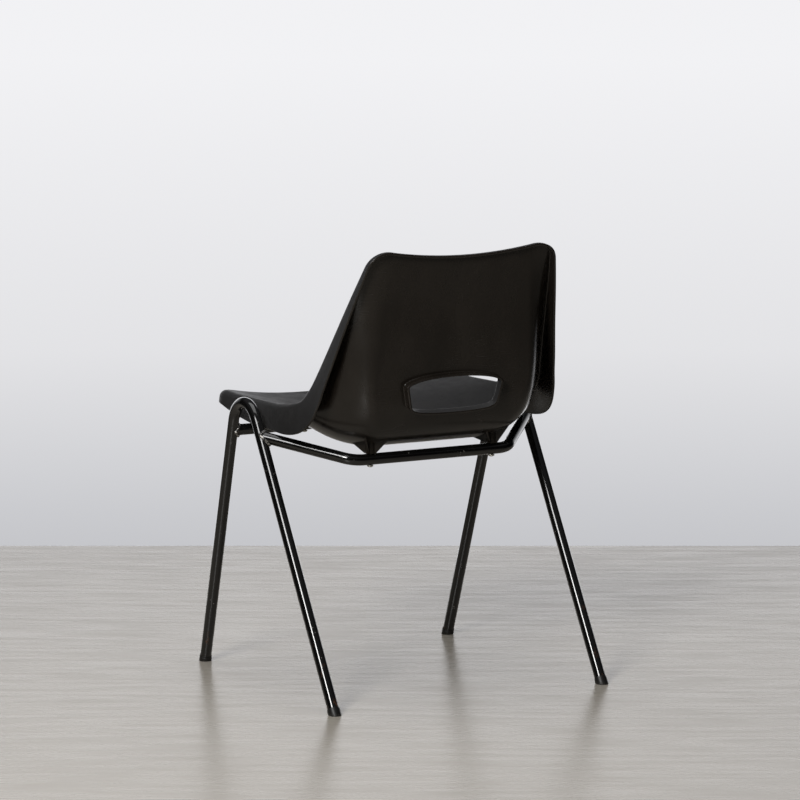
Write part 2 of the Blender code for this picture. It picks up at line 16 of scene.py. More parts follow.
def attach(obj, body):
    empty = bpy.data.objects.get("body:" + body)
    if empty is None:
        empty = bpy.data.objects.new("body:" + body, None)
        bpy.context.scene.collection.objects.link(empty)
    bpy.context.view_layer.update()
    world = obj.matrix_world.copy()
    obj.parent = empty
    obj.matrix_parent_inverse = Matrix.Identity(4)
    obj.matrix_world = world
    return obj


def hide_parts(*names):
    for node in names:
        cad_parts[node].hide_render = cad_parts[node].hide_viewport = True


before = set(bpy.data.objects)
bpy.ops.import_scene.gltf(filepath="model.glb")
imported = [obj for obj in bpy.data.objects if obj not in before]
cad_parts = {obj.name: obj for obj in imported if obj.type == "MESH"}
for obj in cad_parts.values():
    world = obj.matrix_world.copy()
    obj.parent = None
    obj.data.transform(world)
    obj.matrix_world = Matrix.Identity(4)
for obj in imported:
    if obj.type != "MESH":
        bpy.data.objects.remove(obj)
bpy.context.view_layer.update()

# ---------- driving dimensions, as in CAD
TUBE_RADIUS = 0.0095
TUBE_WALL = 0.0016
GAP = 0.0003  # clearance between pieces that touch
CUT_PAST = 0.002  # a cutter runs on this far past the face it cuts

REAR_FOOT = (0.253, 0.247)  # x and y of a leg's axis on the floor
FRONT_FOOT = (0.2382, -0.247)
LEG_APEX = (0.2545, -0.0766, 0.5388)  # where the two straight legs of a hairpin would meet
ARCH_RADIUS = 0.0487

CAP_RADIUS = 0.0105
CAP_HEIGHT = 0.0115  # along the leg, from the floor
CAP_CHAMFER = 0.001
TUBE_END = 0.008  # the tube stops this far up the leg's axis

REAR_RAIL_ON_LEG = 0.4215  # heights of the rail axes where they meet the legs
FRONT_RAIL_ON_LEG = 0.417
REAR_RAIL_CORNER = (0.1455, 0.115, 0.3897)
RAIL_BEND_RADIUS = 0.04

FIXING_X = 0.115  # the four shell fixings, either side of the middle
SCREW_SHANK_RADIUS = 0.0029
SCREW_HEAD_RADIUS = 0.0056
SCREW_HEAD_HEIGHT = 0.0034
SCREW_KEY_RADIUS = 0.0019  # hexagon socket in the head
SCREW_KEY_DEPTH = 0.0018
SCREW_TIP_CHAMFER = 0.001
INSERT_RADIUS = 0.0044
INSERT_LENGTH = 0.0085
BOSS_RADIUS = 0.008
WEB_REACH_BOTTOM = 0.0095
WEB_REACH_TOP = 0.034
WEB_THICKNESS = 0.003
BOSS_SINK = 0.55  # the boss ends this share of the way through the shell
ABOVE_CHAIR = 0.8  # height from which rays are cast down onto the sheet

SHELL_THICKNESS = 0.004
FRONT_CORNER_RADIUS = 0.03
TOP_CORNER_RADIUS = 0.034
TOP_EDGE_DIP = 0.017  # the top edge is this much lower in the middle
TOP_EDGE_DIP_REACH = 0.15
FLANGE_FLARE = math.radians(7.0)

HOLD_STATION = 7.57  # place up the back, in stations
HOLD_HALF_WIDTH = 0.089
HOLD_WIDENING = 0.006  # half width added at the top and taken off at the bottom
HOLD_HALF_HEIGHT = 0.0245
HOLD_ARCH = 0.009
HOLD_SAG = 0.003
HOLD_SQUARENESS = 6.0
HOLD_LIP = 0.011
HOLD_FOLD = 0.0055
HOLD_MARGIN = 0.011  # least width of the ring of faces round the hand hold

# Shell stations from the front edge of the seat to the top of the back. The middle is (y, z); the
# edge is (x, y, z) where the sheet starts to fold; the dish starts at the flat share of the half
# width and rises with the power; the flange turns down by its depth at its angle from vertical.
#            middle           edge                      flat  power  angle  depth   fold
STATIONS = (
    ((-0.2175, 0.4555), (0.2185, -0.2170, 0.4725), 0.25, 2.2, 0.0, 0.0040, 0.0130),
    ((-0.1500, 0.4475), (0.2190, -0.1480, 0.4712), 0.20, 2.2, 0.0, 0.0230, 0.0090),
    ((-0.0800, 0.4335), (0.2200, -0.0740, 0.4722), 0.20, 2.2, 0.0, 0.0340, 0.0075),
    ((-0.0080, 0.4180), (0.2210, -0.0060, 0.4732), 0.30, 2.4, 4.0, 0.0376, 0.0070),
    ((0.0560, 0.4090), (0.2200, 0.0460, 0.4780), 0.36, 2.5, 14.0, 0.0437, 0.0070),
    ((0.1120, 0.4155), (0.2150, 0.0790, 0.4870), 0.38, 2.5, 32.0, 0.0450, 0.0070),
    ((0.1540, 0.4410), (0.2095, 0.0980, 0.5050), 0.55, 2.0, 48.0, 0.0390, 0.0070),
    ((0.1740, 0.4770), (0.2035, 0.1110, 0.5270), 0.66, 1.7, 60.0, 0.0335, 0.0070),
    ((0.1810, 0.5220), (0.1965, 0.1285, 0.5610), 0.74, 1.45, 65.0, 0.0285, 0.0070),
    ((0.1890, 0.5900), (0.1870, 0.1545, 0.6150), 0.76, 1.45, 66.0, 0.0210, 0.0065),
    ((0.1980, 0.6600), (0.1770, 0.1830, 0.6750), 0.77, 1.45, 70.0, 0.0140, 0.0060),
    ((0.2140, 0.7440), (0.1640, 0.2190, 0.7500), 0.78, 1.45, 78.0, 0.0050, 0.0055),
)

# ---------- how fine the pieces are made
TUBE_SIDES = 48
ROUND_SIDES = 64
ARCH_STEPS = 40
RAIL_BEND_STEPS = 24
SHELL_COLUMNS = 150
SHELL_ROWS = 150
CORNER_ROWS = 16
FOLD_STEPS = 8
HOLD_RINGS = 8
OUTLINE_STEPS = 600  # along each of the hand hold's four sides, before they are evened out
BOSS_TURNS = 10
SHELL_SHARP = math.radians(40)  # steeper edges than this are shaded sharp
RIM_ROUNDING = 0.5  # how far the shell's cut edge bulges, in half thicknesses
CAP_STEP = 0.0003  # the cap's rim is stepped in by this
CAP_STEP_START = 0.76  # between these shares of its height
CAP_STEP_END = 0.79
THREAD_START = 0.004  # the screw's plain shank under its head
THREAD_PITCH = 0.001
THREAD_DEPTH = 0.0005
KNURL_RIDGES = 16

# Weld beads: a rippled ring that follows the saddle between rail and leg.
BEAD_RADIUS = 0.0027
BEAD_OFFSET = 0.25  # its centre stands off the leg by this share of its radius
BEAD_RIPPLES = 34
BEAD_RIPPLE_DEPTH = 0.16
BEAD_RIPPLE_MIDDLE = 0.6  # this share up a ripple, the bead has its plain radius
BEAD_RIPPLE_BOW = 0.3  # how far a ripple's line bows back and forth, in ripples
BEAD_LUMPS = ((0.1, 5, 1.3), (0.06, 11, 0.0))  # height, count and start of each slow wave
BEAD_STEPS_PER_RIPPLE = 9
BEAD_SIDES = 18

# ---------- the view and the light
CAMERA_PLACE = (3.7286, 6.6971, 1.6017)
CAMERA_YAW = math.radians(29.14)  # from looking along -Y, towards -X
CAMERA_PITCH = math.radians(8.438)
CAMERA_LENS = 208.47
CAMERA_SENSOR = 36.0

FLOOR_BEYOND = 1.2  # from the chair to the floor's far edge, as the camera looks
FLOOR_REST = 3.4  # and to its other three edges
FLOOR_LIT = 1.0  # painted shade: the floor's colour is at its palest as far out as this
FLOOR_DIM = 2.2  # and at its darkest from here, where the painted shade is full
FLOOR_STREAK = 9.0  # its streaks are this many times as long as they are deep
# The colours seen behind the chair, by the sine of the elevation that they are seen at.
BACKDROP = (
    (-0.178, (0.555, 0.56, 0.585)),
    (-0.17, (0.59, 0.595, 0.62)),
    (-0.136, (0.765, 0.765, 0.785)),
    (-0.074, (0.885, 0.885, 0.905)),
)
# What lights the chair and is reflected in it.
ROOM_DARK = (0.003, 0.003, 0.003)  # the unlit room
ROOM_WALL = (1.7, 1.7, 1.745)  # the pale wall beyond the chair
ROOM_CEILING = (0.1, 0.1, 0.105)
ROOM_FLOOR = (0.26, 0.2, 0.155)  # warm floor to the camera's right
# Where each fades in, from nothing to full, by how far a unit vector in a ray's direction goes:
# away from the camera, up, down, and to the camera's left.
WALL_BEYOND = (0.6, 0.96)
WALL_TOP = (0.46, 0.1)
CEILING_UP = (0.35, 0.8)
FLOOR_DOWN = (0.2, 0.38)
FLOOR_ASIDE = ((-0.95, -0.62), (-0.05, -0.45))
#    name      place            target           size        power  colour
LIGHTS = (
    ("window", (4.3, 3.3, 3.3), (0.0, 0.0, 0.3), (1.3, 1.6), 150, (1.0, 0.99, 0.97)),
    ("softbox", (2.08, 1.44, 2.27), (0.1, 0.1, 0.3), (1.15, 0.8), 31, (1.0, 1.0, 1.0)),
    ("overhead", (0.3, -0.1, 3.4), (0.0, 0.0, 0.4), (2.4, 2.4), 32, (1.0, 1.0, 1.0)),
)


# ---------- small helpers
def unit(vectors):
    """Rows of an array, or one vector, at length one."""
    length = np.linalg.norm(vectors, axis=-1, keepdims=True)
    return vectors / np.maximum(length, 1e-12)


def new_piece(name, points, faces, *materials, sharp=35):
    """A mesh object from points and faces, wound so that its faces point out."""
    mesh = bpy.data.meshes.new(name)
    mesh.from_pydata([tuple(p) for p in points], [], [tuple(f) for f in faces])
    work = bmesh.new()
    work.from_mesh(mesh)
    bmesh.ops.recalc_face_normals(work, faces=work.faces)
    work.to_mesh(mesh)
    work.free()
    mesh.shade_smooth()
    mesh.set_sharp_from_angle(angle=math.radians(sharp))
    for material in materials:
        mesh.materials.append(material)
    piece = bpy.data.objects.new(name, mesh)
    bpy.context.scene.collection.objects.link(piece)
    return piece


def settle(piece, node):
    """The piece stands for a CAD node, which is hidden, and rides on the chair's one body."""
    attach(piece, "root")
    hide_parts(node)


def frame_across(direction):
    """Two unit vectors square to a direction and to each other."""
    direction = Vector(direction).normalized()
    helper = Vector((0, 0, 1)) if abs(direction.z) < 0.9 else Vector((0, 1, 0))
    first = direction.cross(helper).normalized()
    return first, direction.cross(first)


def turned(name, profile, base, direction, material, on_floor=0, sharp=35):
    """A closed profile of (radius, height) turned about an axis. A radius may be a function of
    the angle. The first on_floor rings are slid along the axis until they lie level."""
    base = Vector(base)
    direction = Vector(direction).normalized()
    first, second = frame_across(direction)
    points = []
    rings = []
    for ring, (radius, height) in enumerate(profile):
        if radius == 0:
            rings.append([len(points)])
            points.append(base + direction * height)
            continue
        rings.append(list(range(len(points), len(points) + ROUND_SIDES)))
        for side in range(ROUND_SIDES):
            angle = 2 * math.pi * side / ROUND_SIDES
            out = first * math.cos(angle) + second * math.sin(angle)
            reach = radius(angle) if callable(radius) else radius
            along = height - reach * out.z / direction.z if ring < on_floor else height
            points.append(base + out * reach + direction * along)
    if len(rings[0]) > 1 and len(rings[-1]) > 1:
        rings.append(rings[0])
    faces = []
    for lower, upper in zip(rings, rings[1:]):
        for side in range(ROUND_SIDES):
            after = (side + 1) % ROUND_SIDES
            quad = [lower[side % len(lower)], lower[after % len(lower)],
                    upper[after % len(upper)], upper[side % len(upper)]]
            faces.append(list(dict.fromkeys(quad)))
    return new_piece(name, points, faces, material, sharp=sharp)


def loops_of(size, count):
    """Numbers of as many points as the count, in loops of one size."""
    return [range(start, start + size) for start in range(0, count, size)]


def bridge(faces, first, second):
    """Join two loops of as many points with a band of quads."""
    for k in range(len(first)):
        after = (k + 1) % len(first)
        faces.append((first[k], first[after], second[after], second[k]))


def arc(centre, radius, start, end, steps):
    """Profile points on an arc, with angles in degrees from the outward direction."""
    angles = np.radians(np.linspace(start, end, steps + 1))
    return [(centre[0] + radius * math.cos(a), centre[1] + radius * math.sin(a)) for a in angles]


def rounded_path(corners, radius, steps):
    """The centre line through corners, each inner corner rounded with an arc."""
    path = [Vector(corners[0])]
    for before, corner, after in zip(corners, corners[1:], corners[2:]):
        corner = Vector(corner)
        towards = (Vector(before) - corner).normalized()
        away = (Vector(after) - corner).normalized()
        half = towards.angle(away) / 2
        centre = corner + (towards + away).normalized() * (radius / math.sin(half))
        start = corner + towards * (radius / math.tan(half)) - centre
        end = corner + away * (radius / math.tan(half)) - centre
        turn = start.angle(end)
        for step in range(steps + 1):
            share = step / steps
            spoke = start * math.sin((1 - share) * turn) + end * math.sin(share * turn)
            path.append(centre + spoke / math.sin(turn))
    path.append(Vector(corners[-1]))
    return path


def tube(name, path, material):
    """A hollow round tube along a path, open at both ends."""
    points = []
    across = None
    for index, place in enumerate(path):
        before = path[max(index - 1, 0)]
        after = path[min(index + 1, len(path) - 1)]
        along = ((place - before).normalized() + (after - place).normalized()).normalized()
        if across is None:
            across = frame_across(along)[0]
        across = (across - along * across.dot(along)).normalized()
        second = along.cross(across)
        for radius in (TUBE_RADIUS, TUBE_RADIUS - TUBE_WALL):
            for side in range(TUBE_SIDES):
                angle = 2 * math.pi * (side + 0.5) / TUBE_SIDES
                spoke = across * math.cos(angle) + second * math.sin(angle)
                points.append(place + spoke * radius)
    faces = []
    loops = loops_of(TUBE_SIDES, len(points))
    outer = loops[::2]
    inner = loops[1::2]
    for wall in (outer, inner):
        for low, high in zip(wall, wall[1:]):
            bridge(faces, low, high)
    for end in (0, -1):
        bridge(faces, outer[end], inner[end])
    return new_piece(name, points, faces, material)


# ---------- materials
class Nodes:
    """Short ways to add shader nodes to a tree."""

    def __init__(self, tree):
        self.tree = tree

    def fill(self, socket, value):
        """Give an input a value, or link an output to it. None leaves it alone."""
        if isinstance(value, bpy.types.NodeSocket):
            self.tree.links.new(value, socket)
        elif value is not None:
            socket.default_value = value

    def add(self, kind, values=None, **settings):
        made = self.tree.nodes.new("ShaderNode" + kind)
        for setting, value in settings.items():
            setattr(made, setting, value)
        for socket, value in (values or {}).items():
            self.fill(made.inputs[socket], value)
        return made

    def remap(self, value, low, high, out_low=0.0, out_high=1.0):
        """The value from low to high becomes out_low to out_high, with soft ends."""
        return self.add("MapRange", {"Value": value, "From Min": low, "From Max": high,
                                     "To Min": out_low, "To Max": out_high},
                        interpolation_type="SMOOTHSTEP").outputs["Result"]

    def maths(self, operation, first, second=0.0):
        return self.add("Math", {0: first, 1: second}, operation=operation).outputs[0]

    def times(self, first, second):
        return self.maths("MULTIPLY", first, second)

    def measure(self, place, axis):
        """How far a place lies along an axis."""
        return self.add("VectorMath", {0: place, 1: axis}, operation="DOT_PRODUCT").outputs["Value"]


class Look(Nodes):
    """A Principled material. Its patterns use object coordinates, in metres."""

    def __init__(self, name, settings):
        self.material = bpy.data.materials.new(name)
        self.material.use_nodes = True
        super().__init__(self.material.node_tree)
        self.shader = self.tree.nodes["Principled BSDF"]
        for socket, value in settings.items():
            self.fill(self.shader.inputs[socket], value)
        self.place = self.add("TexCoord").outputs["Object"]

    def stretched(self, size, turn=(0, 0, 0)):
        """The coordinates scaled by axis, for streaks."""
        return self.add("Mapping", {"Vector": self.place, "Scale": size,
                                    "Rotation": turn}).outputs["Vector"]

    def noise(self, scale, detail=2.0, rough=0.5, place=None):
        return self.add("TexNoise", {"Vector": place or self.place, "Scale": scale,
                                     "Detail": detail, "Roughness": rough}).outputs[0]

    def cells(self, scale):
        return self.add("TexVoronoi", {"Vector": self.place, "Scale": scale}).outputs["Distance"]

    def mix(self, share, first, second):
        """A colour between two colours, which may be sockets or (r, g, b)."""
        made = self.add("Mix", data_type="RGBA")
        self.fill(made.inputs[0], share)
        for number, colour in ((6, first), (7, second)):
            socket = isinstance(colour, bpy.types.NodeSocket)
            self.fill(made.inputs[number], colour if socket else (*colour, 1))
        return made.outputs[2]

    def layered(self, base, *coats):
        """The base colour under coats of (mask, strength, colour)."""
        for mask, strength, colour in coats:
            base = self.mix(self.times(mask, strength), base, colour)
        return base

    def bump(self, height, distance, strength=1.0, normal=None):
        return self.add("Bump", {"Height": height, "Distance": distance, "Strength": strength,
                                 "Normal": normal}).outputs["Normal"]

    def wear(self, colour, roughness, normal=None):
        """Drive the shader's worn inputs and hand over the material."""
        for socket, value in (("Base Color", colour), ("Roughness", roughness),
                              ("Normal", normal)):
            self.fill(self.shader.inputs[socket], value)
        return self.material


def scratches(look, scale, size, turn, width):
    """Thin broken lines: where a stretched noise crosses its middle value, in patches."""
    field = look.noise(scale, 1.0, place=look.stretched(size, turn))
    line = look.maths("ABSOLUTE", look.maths("SUBTRACT", field, 0.5))
    thin = look.remap(line, 0.0, width, 1.0, 0.0)
    patches = look.remap(look.noise(9.0, 2.0), 0.55, 0.68)
    return look.times(thin, patches)


def textured_plastic():
    """The sitter's side of the moulding: black, with a fine spark grain, dust and light scuffs."""
    look = Look("shell_textured_black", {"Specular IOR Level": 0.42})
    broad = look.noise(5.0, 3.0)
    cloudy = look.noise(38.0, 4.0, 0.6)
    grain = look.noise(900.0, 2.0, 0.6)
    pits = look.cells(1500.0)
    scuff = scratches(look, 26.0, (1.0, 6.0, 6.0), (0.3, 0.2, 0.7), 0.01)
    colour = look.layered(
        look.mix(broad, (0.0125, 0.0122, 0.0126), (0.0175, 0.017, 0.0172)),
        (look.remap(cloudy, 0.45, 0.75, 0.0, 0.45), 1.0, (0.022, 0.021, 0.021)),
        (look.remap(grain, 0.5, 0.72, 0.0, 0.35), 1.0, (0.03, 0.029, 0.029)),
        (scuff, 0.3, (0.06, 0.058, 0.056)))
    skin = look.bump(pits, 0.00006, 0.6, look.bump(grain, 0.00011, 0.9))
    return look.wear(colour, look.remap(cloudy, 0.25, 0.75, 0.44, 0.6), skin)


def polished_plastic():
    """The back and underside: the mould's polished face, with smears, hairlines and a slow
    unevenness that bends its reflections."""
    look = Look("shell_polished_black", {"Specular IOR Level": 0.42})
    broad = look.noise(6.5, 2.0)
    smear = look.noise(11.0, 4.0, 0.62, look.stretched((1.0, 1.0, 0.45), (0.0, 0.5, 0.0)))
    haze = look.remap(smear, 0.36, 0.84)
    speck = look.remap(look.cells(120.0), 0.05, 0.09, 1.0, 0.0)
    speck = look.times(speck, look.remap(look.noise(23.0), 0.56, 0.66))
    hair = scratches(look, 17.0, (1.0, 1.0, 7.0), (0.2, 0.9, 0.3), 0.006)
    colour = look.layered(
        look.mix(broad, (0.0098, 0.0076, 0.0056), (0.0145, 0.0118, 0.0094)),
        (haze, 0.55, (0.032, 0.026, 0.021)),
        (speck, 0.5, (0.06, 0.057, 0.052)),
        (hair, 0.22, (0.06, 0.056, 0.052)))
    rough = look.remap(haze, 0.0, 1.0, 0.21, 0.31)
    rough = look.maths("ADD", rough, look.times(hair, 0.15))
    wavy = look.bump(look.noise(13.0, 2.0), 0.0012, 0.35)
    fine = look.bump(look.noise(420.0, 2.0), 0.00002, 0.6, wavy)
    return look.wear(colour, rough, look.bump(hair, 0.00003, 0.6, fine))


def frame_paint():
    """Stoved black gloss paint on steel tube, with orange peel, hairlines, chips down to grey
    primer and a little rust low on the legs."""
    look = Look("frame_gloss_black", {"Specular IOR Level": 0.55, "Coat Weight": 0.35,
                                      "Coat Roughness": 0.05})
    height = look.measure(look.place, (0, 0, 1))
    mottle = look.noise(30.0, 3.0)
    chips = look.times(look.remap(look.cells(210.0), 0.16, 0.24, 1.0, 0.0),
                       look.remap(look.noise(34.0, 3.0, 0.6), 0.58, 0.66))
    low = look.remap(height, 0.02, 0.2, 1.0, 0.0)
    rust = look.remap(look.noise(65.0, 5.0, 0.65, look.stretched((1.0, 1.0, 0.4))), 0.57, 0.7)
    rust = look.times(rust, look.times(low, 0.85))
    dust = look.remap(look.noise(260.0, 3.0, 0.7), 0.6, 0.78, 0.0, 0.5)
    hair = scratches(look, 60.0, (5.0, 5.0, 0.6), (0.35, 0.0, 0.0), 0.008)
    colour = look.layered(
        look.mix(mottle, (0.0026, 0.0026, 0.0029), (0.0056, 0.0053, 0.0049)),
        (dust, 1.0, (0.013, 0.0125, 0.012)),
        (hair, 0.5, (0.07, 0.07, 0.07)),
        (rust, 1.0, (0.085, 0.036, 0.016)),
        (chips, 0.75, (0.23, 0.215, 0.2)))
    rough = look.remap(look.noise(18.0, 3.0), 0.3, 0.7, 0.09, 0.17)
    worn = look.maths("MAXIMUM", rust, chips)
    rough = look.maths("ADD", rough, look.times(worn, 0.45))
    peel = look.bump(look.noise(330.0, 1.0), 0.00005, 0.22)
    return look.wear(colour, rough, look.bump(worn, 0.0001, 0.5, peel))


def weld_paint():
    """The same paint over weld metal: lumpier, with bright spots that are partly bare metal where
    it is thin and partly a painted highlight on the bead.
    """
    look = Look("weld_gloss_black", {"Specular IOR Level": 0.6, "Coat Weight": 0.4,
                                     "Coat Roughness": 0.06})
    bare_metal_and_highlight = look.remap(look.noise(240.0, 3.0, 0.6), 0.48, 0.6)
    colour = look.mix(look.noise(90.0, 3.0), (0.01, 0.01, 0.01), (0.024, 0.022, 0.02))
    # bright spots: bare weld metal, whose pale colour is also a painted highlight on the bead
    colour = look.mix(look.times(bare_metal_and_highlight, 0.85), colour, (0.56, 0.54, 0.5))
    look.fill(look.shader.inputs["Metallic"], look.times(bare_metal_and_highlight, 0.7))
    return look.wear(colour, look.remap(bare_metal_and_highlight, 0.0, 1.0, 0.16, 0.32),
                     look.bump(look.noise(700.0, 3.0, 0.6), 0.00012, 0.7))


def cap_plastic():
    """Foot caps: matt black polythene, greyed and scuffed towards the sole."""
    look = Look("cap_matt_black", {"Specular IOR Level": 0.4})
    height = look.measure(look.place, (0, 0, 1))
    low = look.remap(height, 0.000, 0.007, 1.0, 0.0)
    grime = look.times(look.remap(look.noise(420.0, 4.0, 0.6), 0.4, 0.62), low)
    scuff = scratches(look, 160.0, (1.0, 1.0, 5.0), (0.0, 0.0, 0.0), 0.02)
    colour = look.layered(
        look.mix(look.noise(150.0, 3.0), (0.0055, 0.005, 0.0048), (0.011, 0.0104, 0.0098)),
        (grime, 0.4, (0.06, 0.05, 0.041)),
        (scuff, 0.4, (0.06, 0.056, 0.052)))
    skin = look.bump(look.noise(1300.0, 3.0, 0.6), 0.00006, 0.8)
    return look.wear(colour, look.remap(grime, 0.0, 1.0, 0.42, 0.75), skin)


def zinc_steel():
    """Screws: bright zinc, dulled in patches, with turning marks."""
    look = Look("screw_zinc", {"Metallic": 1.0})
    dull = look.remap(look.noise(330.0, 4.0, 0.6), 0.42, 0.66)
    colour = look.mix(dull, (0.66, 0.65, 0.61), (0.42, 0.4, 0.35))
    turning = look.noise(1800.0, 2.0, 0.5, look.stretched((0.3, 0.3, 3.0)))
    return look.wear(colour, look.remap(dull, 0.0, 1.0, 0.26, 0.48),
                     look.bump(turning, 0.00003, 0.6))


def insert_brass():
    """Threaded inserts: brass, browned where the plastic holds it."""
    look = Look("insert_brass_worn", {"Metallic": 1.0})
    brown = look.remap(look.noise(420.0, 4.0, 0.6), 0.4, 0.68)
    return look.wear(look.mix(brown, (0.68, 0.5, 0.22), (0.36, 0.24, 0.1)),
                     look.remap(brown, 0.0, 1.0, 0.24, 0.5),
                     look.bump(look.noise(1500.0, 2.0), 0.00003, 0.6))


def pale_floor():
    """The studio floor: pale warm grey, slightly satin, with faint clouds and streaks, and painted
    shade that darkens it away from the chair.
    """
    look = Look("studio_floor", {"Specular IOR Level": 0.45})
    cloud = look.noise(2.2, 4.0, 0.55)
    away, left = camera_axes()
    run = look.measure(look.place, left)
    depth = look.measure(look.place, away)
    drawn = look.add("CombineXYZ", {"X": run, "Y": look.times(depth, FLOOR_STREAK)})
    streak = look.noise(5.0, 5.0, 0.65, drawn.outputs["Vector"])
    colour = look.mix(cloud, (0.385, 0.352, 0.302), (0.43, 0.398, 0.346))
    colour = look.mix(look.remap(streak, 0.35, 0.75, 0.0, 0.16), colour, (0.33, 0.3, 0.258))
    # painted shade: the colour darkens away from the chair, standing in for the floor's light
    # falling off
    outward = look.maths("MAXIMUM", look.maths("ABSOLUTE", run), look.times(depth, -1.0))
    colour = look.mix(look.remap(outward, FLOOR_LIT, FLOOR_DIM), colour, (0.26, 0.243, 0.213))
    return look.wear(colour, look.remap(streak, 0.3, 0.7, 0.25, 0.32))


# ---------- the shell's surface
def through_stations(place):
    """All station values at fractional places along the list, by a Catmull-Rom curve. They are
    the middle's y z, the edge's x y z, flat, power, angle, depth and fold."""
    table = np.array([(*middle, *edge, *rest) for middle, edge, *rest in STATIONS])
    padded = np.vstack([2 * table[0] - table[1], table, 2 * table[-1] - table[-2]])
    place = np.clip(np.asarray(place, dtype=float), 0, len(table) - 1)
    index = np.minimum(place.astype(int), len(table) - 2)
    t = (place - index)[..., None]
    p0, p1, p2, p3 = (padded[index + k] for k in range(4))
    return p1 + 0.5 * t * (p2 - p0 + t * (2 * p0 - 5 * p1 + 4 * p2 - p3
                                          + t * (3 * (p1 - p2) + p3 - p0)))


class ShellSurface:
    """The sitter's side of the shell as a function of x and the distance from the front edge."""

    def __init__(self):
        self.places = np.linspace(0, len(STATIONS) - 1, 1200)
        values = through_stations(self.places)
        middle = values[:, 0:2]
        edge = values[:, 3:5]
        between = np.linalg.norm(np.diff((middle + edge) / 2, axis=0), axis=1)
        self.distance = np.concatenate([[0], np.cumsum(between)])
        self.length = self.distance[-1]

    def distance_at(self, place):
        return float(np.interp(place, self.places, self.distance))

    def values(self, distance):
        return through_stations(np.interp(distance, self.distance, self.places))

    def half_width(self, distance):
        """Half the sheet's width, drawn in round the four corners."""
        width = self.values(distance)[..., 2]
        for radius, inset in ((FRONT_CORNER_RADIUS, distance),
                              (TOP_CORNER_RADIUS, self.length - distance)):
            depth = np.clip(radius - inset, 0, radius)
            width = width - (radius - np.sqrt(radius * radius - depth * depth))
        return width

    def points(self, x, distance):
        """Points of the sheet. The dip of the top edge fades out down the back."""
        fade = np.clip(1 - (self.length - distance) / TOP_EDGE_DIP_REACH, 0, 1) ** 2
        share = np.clip(1 - (x / self.values(self.length)[2]) ** 2, 0, 1)
        values = self.values(distance - TOP_EDGE_DIP * fade * share)
        flat, power = values[..., 5], values[..., 6]
        reach = np.clip((np.abs(x) / values[..., 2] - flat) / (1 - flat), 0, 2)
        rise = reach ** power
        y = values[..., 0] + rise * (values[..., 3] - values[..., 0])
        z = values[..., 1] + rise * (values[..., 4] - values[..., 1])
        return np.stack([x, y, z], axis=-1)

    def normals(self, x, distance):
        """Unit normals on the sitter's side."""
        step = 1e-4
        inside = np.clip(distance, step, self.length - step)
        across = self.points(x + step, inside) - self.points(x - step, inside)
        along = self.points(x, inside + step) - self.points(x, inside - step)
        return unit(np.cross(across, along))


def hand_hold_outline(surface, sides):
    """Points (x, distance) round the hand hold, with a count of steps for each of four sides.
    It is a squared-off oval, wider at the top and with an arched top edge."""
    centre = surface.distance_at(HOLD_STATION)
    angle = np.linspace(-0.75 * math.pi, 1.25 * math.pi, 4 * OUTLINE_STEPS + 1)
    across, up = (np.sign(wave) * np.abs(wave) ** (2 / HOLD_SQUARENESS)
                  for wave in (np.cos(angle), np.sin(angle)))
    x = (HOLD_HALF_WIDTH + HOLD_WIDENING * up) * across
    bulge = np.where(up > 0, HOLD_ARCH, HOLD_SAG) * (1 - across ** 2)
    distance = centre + (HOLD_HALF_HEIGHT + bulge) * up
    outline = []
    for side, count in enumerate(sides):
        part = slice(side * OUTLINE_STEPS, (side + 1) * OUTLINE_STEPS + 1)
        steps = np.hypot(np.diff(x[part]), np.diff(distance[part]))
        run = np.concatenate([[0], np.cumsum(steps)])
        wanted = run[-1] * np.arange(count) / count
        outline += list(zip(np.interp(wanted, run, x[part]),
                            np.interp(wanted, run, distance[part])))
    return outline


def grid_loop(wide, low, high, left, right):
    """Numbers of the points round a block of a grid, whose rows are wide points long."""
    return ([low * wide + column for column in range(left, right)]
            + [row * wide + right for row in range(low, high)]
            + [high * wide + column for column in range(right, left, -1)]
            + [row * wide + left for row in range(high, low, -1)])


def shell_sheet(surface):
    """The flat-pattern grid of the sheet: (x, distance) points, quads, its outer edge and the
    edge of the hand hold, both as loops of point numbers. Rows crowd together at the corners."""
    turns = 1 - np.cos(np.linspace(0, math.pi / 2, CORNER_ROWS + 1))
    front = FRONT_CORNER_RADIUS * turns
    top = surface.length - TOP_CORNER_RADIUS * turns[::-1]
    between = np.linspace(front[-1], top[0], SHELL_ROWS + 1)
    distances = np.concatenate([front, between[1:-1], top])
    columns = SHELL_COLUMNS
    wide = columns + 1
    shares = np.linspace(-1, 1, wide)
    flat = [(share * surface.half_width(d), d) for d in distances for share in shares]
    margin = HOLD_MARGIN
    centre = surface.distance_at(HOLD_STATION)
    low = np.searchsorted(distances, centre - HOLD_HALF_HEIGHT - margin) - 1
    high = np.searchsorted(distances, centre + HOLD_HALF_HEIGHT + HOLD_ARCH + margin)
    reach = HOLD_HALF_WIDTH + HOLD_WIDENING + margin
    left = np.searchsorted(shares * surface.half_width(distances[high]), -reach) - 1
    right = columns - left
    faces = []
    for row in range(len(distances) - 1):
        for column in range(columns):
            if low <= row < high and left <= column < right:
                continue
            start = row * wide + column
            faces.append((start, start + 1, start + wide + 1, start + wide))
    border = grid_loop(wide, low, high, left, right)
    sides = (right - left, high - low, right - left, high - low)
    outline = hand_hold_outline(surface, sides)
    outer = border
    for ring in range(1, HOLD_RINGS + 1):
        share = ring / HOLD_RINGS
        inner = list(range(len(flat), len(flat) + len(border)))
        for number, hole in zip(border, outline):
            x, d = flat[number]
            flat.append((x + share * (hole[0] - x), d + share * (hole[1] - d)))
        bridge(faces, outer, inner)
        outer = inner
    edge = grid_loop(wide, 0, len(distances) - 1, 0, columns)
    return np.array(flat), faces, edge, outer


